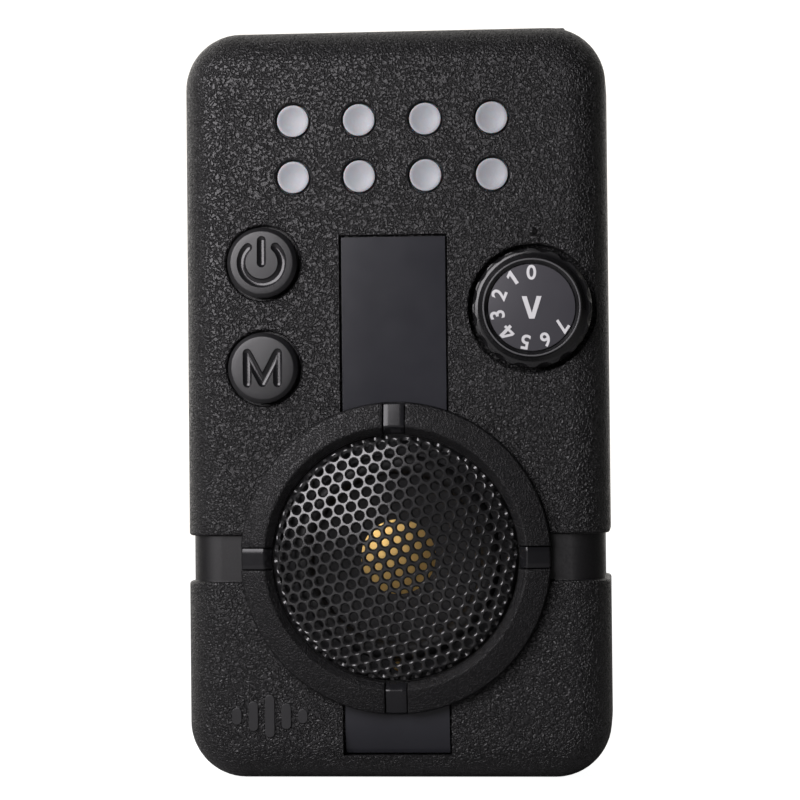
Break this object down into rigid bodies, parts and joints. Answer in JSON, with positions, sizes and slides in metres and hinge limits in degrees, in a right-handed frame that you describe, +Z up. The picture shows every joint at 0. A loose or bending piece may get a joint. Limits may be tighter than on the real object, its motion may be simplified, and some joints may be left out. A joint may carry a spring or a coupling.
{
  "type": "electronic game caller",
  "caption": "Palm-sized boxy sound unit with a round domed speaker grille, indicator lamps, push buttons, a volume dial, a socket flap and a rear battery door.",
  "frame": {"origin": "centre of the flat bottom end", "axes": "+Z up the length of the case, the front with the speaker faces -Y, +X to the right seen from the front"},
  "size_m": [0.0666, 0.0327, 0.1186],
  "materials": {
    "case_black": "pebbled moulded plastic, smooth in the side grooves",
    "strip_slate": "smooth satin slate",
    "mark_grey": "satin raised bars",
    "bezel_black": "fine grained",
    "key_black": "smooth satin",
    "grille_black": "gloss black enamel",
    "button_black": "fine matte with smooth sunk symbols",
    "knob_black": "satin, scalloped",
    "plate_grey": "satin disc with white figures",
    "lamp_frost": "frosted lens",
    "rubber_black": "smooth rubber",
    "foam_grey": "closed foam",
    "cap_brass": "bright brass",
    "coil_copper": "enamelled copper wire",
    "cone_paper": "pressed paper",
    "steel": "plated",
    "frame_steel": "black pressed steel",
    "magnet_grey": "ferrite in a steel cup",
    "board_green": "solder mask on glass fibre",
    "board_brown": "phenolic board",
    "chip_black": "moulded package",
    "can_silver": "plain can",
    "cell_sleeve": "plain two-tone sleeve over a steel can",
    "wire_red": "PVC insulation"
  },
  "bodies": {
    "case": {"amplifier_chip": "chip_black", "audio_jack": "chip_black", "battery_1": "cell_sleeve", "battery_2": "cell_sleeve", "battery_3": "cell_sleeve", "battery_springs": "steel", "battery_wires": "wire_red", "board_screws": "steel", "capacitors": "can_silver", "case_screws": "steel", "case_seal": "rubber_black", "centre_strip_lower": "strip_slate", "centre_strip_upper": "strip_slate", "contact_plates": "steel", "controller_chip": "chip_black", "flap_pin": "steel", "front_shell": "case_black", "grille_retainer": "key_black", "led_1": "lamp_frost", "led_2": "lamp_frost", "led_3": "lamp_frost", "led_4": "lamp_frost", "led_5": "lamp_frost", "led_6": "lamp_frost", "led_7": "lamp_frost", "led_8": "lamp_frost", "led_leads": "steel", "level_mark": "mark_grey", "main_board": "board_green", "mode_switch": "chip_black", "pot_body": "steel", "pot_nut": "steel", "power_switch": "chip_black", "radio_module": "can_silver", "rear_shell": "case_black", "speaker_bezel": "bezel_black", "speaker_frame": "frame_steel", "speaker_gasket": "foam_grey", "speaker_grille": "grille_black", "speaker_magnet": "magnet_grey", "speaker_screws": "steel", "speaker_surround": "rubber_black", "speaker_terminals": "cap_brass", "speaker_wires": "wire_red", "terminal_board": "board_brown"},
    "power_key": {"power_button": "button_black", "power_plunger": "chip_black"},
    "mode_key": {"mode_button": "button_black", "mode_plunger": "chip_black"},
    "dial": {"volume_knob": "knob_black", "dial_plate": "plate_grey", "pot_shaft": "steel"},
    "door": {"battery_door": "case_black"},
    "flap": {"port_flap": "rubber_black"},
    "cone": {"speaker_cone": "cone_paper", "dust_cap": "cap_brass", "voice_coil": "coil_copper"}
  },
  "joints": [
    {"name": "power_press", "type": "slide", "parent": "case", "child": "power_key", "axis": [0, 1, 0], "range_m": [0, 0.0008], "stiffness_N_per_m": 1500},
    {"name": "mode_press", "type": "slide", "parent": "case", "child": "mode_key", "axis": [0, 1, 0], "range_m": [0, 0.0008], "stiffness_N_per_m": 1500},
    {"name": "volume_turn", "type": "hinge", "parent": "case", "child": "dial", "pos_m": [0.0217, -0.014, 0.0735], "axis": [0, 1, 0], "range_deg": [0, 236.6]},
    {"name": "door_swing", "type": "hinge", "parent": "case", "child": "door", "pos_m": [0, 0.0129, 0.0645], "axis": [1, 0, 0], "range_deg": [0, 90]},
    {"name": "flap_swing", "type": "hinge", "parent": "case", "child": "flap", "pos_m": [0.018, -0.00145, 0.11745], "axis": [0, -1, 0], "range_deg": [0, 110]},
    {"name": "cone_travel", "type": "slide", "parent": "case", "child": "cone", "axis": [0, 1, 0], "range_m": [-0.0004, 0.0004], "stiffness_N_per_m": 1200, "deforming": ["speaker_surround"]}
  ]
}
